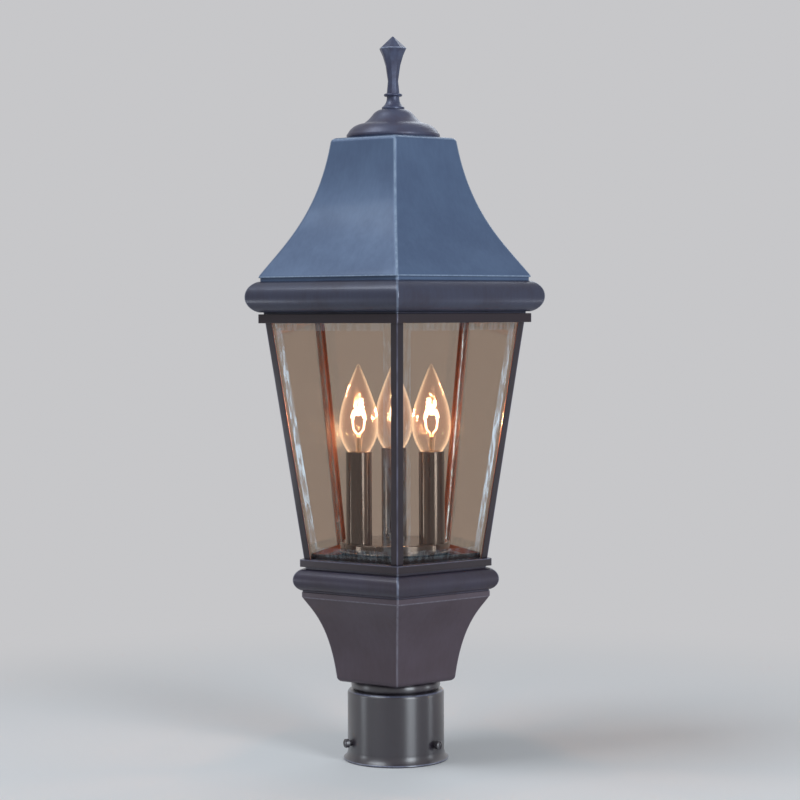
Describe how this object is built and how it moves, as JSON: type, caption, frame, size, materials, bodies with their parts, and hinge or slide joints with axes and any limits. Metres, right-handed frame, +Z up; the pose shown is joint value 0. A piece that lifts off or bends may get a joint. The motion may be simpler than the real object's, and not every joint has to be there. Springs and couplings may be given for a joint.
{
  "type": "post top lantern",
  "caption": "Five-sided post top lantern: bell roof with finial, glazed tapering cage, candle lamps on a pan, flared base and a round collar with set screws.",
  "frame": {"origin": "centre of the collar's open mouth at the bottom, on the post's axis", "axes": "+Z up along the post, -Y towards the corner that faces the viewer, +X to the viewer's right"},
  "size_m": [0.2502, 0.2379, 0.6125],
  "materials": {
    "bronze": "satin dark bronze",
    "dark_bronze": "semi-gloss dark bronze",
    "pane_glass": "clear bevelled glass",
    "bulb_glass": "clear bulb glass",
    "brass": "plain brass",
    "steel": "zinc plated steel",
    "phenolic": "moulded black phenolic",
    "filament": "glowing tungsten and lead wires"
  },
  "bodies": {
    "lantern": {"post_collar": "dark_bronze", "neck_ring": "dark_bronze", "base_body": "bronze", "base_moulding": "bronze", "cage_bottom_frame": "bronze", "cage_top_frame": "bronze", "corner_post_1": "bronze", "corner_post_2": "bronze", "corner_post_3": "bronze", "corner_post_4": "bronze", "corner_post_5": "bronze", "glass_pane_1": "pane_glass", "glass_pane_2": "pane_glass", "glass_pane_3": "pane_glass", "glass_pane_4": "pane_glass", "glass_pane_5": "pane_glass", "top_crossbar": "bronze", "crossbar_screws": "steel", "finial_rod": "steel", "rod_nuts": "steel", "candle_pan": "dark_bronze", "centre_stem": "brass", "stem_nuts": "brass", "socket_nuts": "brass", "socket_stem_1": "brass", "candle_sleeve_1": "dark_bronze", "lamp_socket_1": "phenolic", "socket_stem_2": "brass", "candle_sleeve_2": "dark_bronze", "lamp_socket_2": "phenolic", "socket_stem_3": "brass", "candle_sleeve_3": "dark_bronze", "lamp_socket_3": "phenolic"},
    "roof": {"roof_moulding": "bronze", "roof_shell": "bronze", "cap_dome": "bronze"},
    "finial": {"finial": "bronze"},
    "bulb_1": {"bulb_cap_1": "brass", "bulb_glass_1": "bulb_glass", "bulb_filament_1": "filament"},
    "set_screw_1": {"set_screw_1": "steel"},
    "bulb_2": {"bulb_cap_2": "brass", "bulb_glass_2": "bulb_glass", "bulb_filament_2": "filament"},
    "set_screw_2": {"set_screw_2": "steel"},
    "bulb_3": {"bulb_cap_3": "brass", "bulb_glass_3": "bulb_glass", "bulb_filament_3": "filament"},
    "set_screw_3": {"set_screw_3": "steel"}
  },
  "joints": [
    {"name": "roof_lift", "type": "slide", "parent": "lantern", "child": "roof", "axis": [0, 0, 1], "range_m": [0, 0.19]},
    {"name": "finial_turn", "type": "hinge", "parent": "roof", "child": "finial", "pos_m": [0, 0, 0.5512], "axis": [0, 0, 1], "continuous": true},
    {"name": "bulb_1_turn", "type": "hinge", "parent": "lantern", "child": "bulb_1", "pos_m": [-0.03066, -0.0177, 0.2551], "axis": [0, 0, 1], "continuous": true},
    {"name": "bulb_2_turn", "type": "hinge", "parent": "lantern", "child": "bulb_2", "pos_m": [0.03066, -0.0177, 0.2551], "axis": [0, 0, 1], "continuous": true},
    {"name": "bulb_3_turn", "type": "hinge", "parent": "lantern", "child": "bulb_3", "pos_m": [0, 0.0354, 0.2551], "axis": [0, 0, 1], "continuous": true},
    {"name": "set_screw_1_travel", "type": "slide", "parent": "lantern", "child": "set_screw_1", "axis": [0.9336, 0.3584, 0], "range_m": [-0.004, 0.0005]},
    {"name": "set_screw_2_travel", "type": "slide", "parent": "lantern", "child": "set_screw_2", "axis": [-0.7771, 0.6293, 0], "range_m": [-0.004, 0.0005]},
    {"name": "set_screw_3_travel", "type": "slide", "parent": "lantern", "child": "set_screw_3", "axis": [-0.1564, -0.9877, 0], "range_m": [-0.004, 0.0005]}
  ]
}
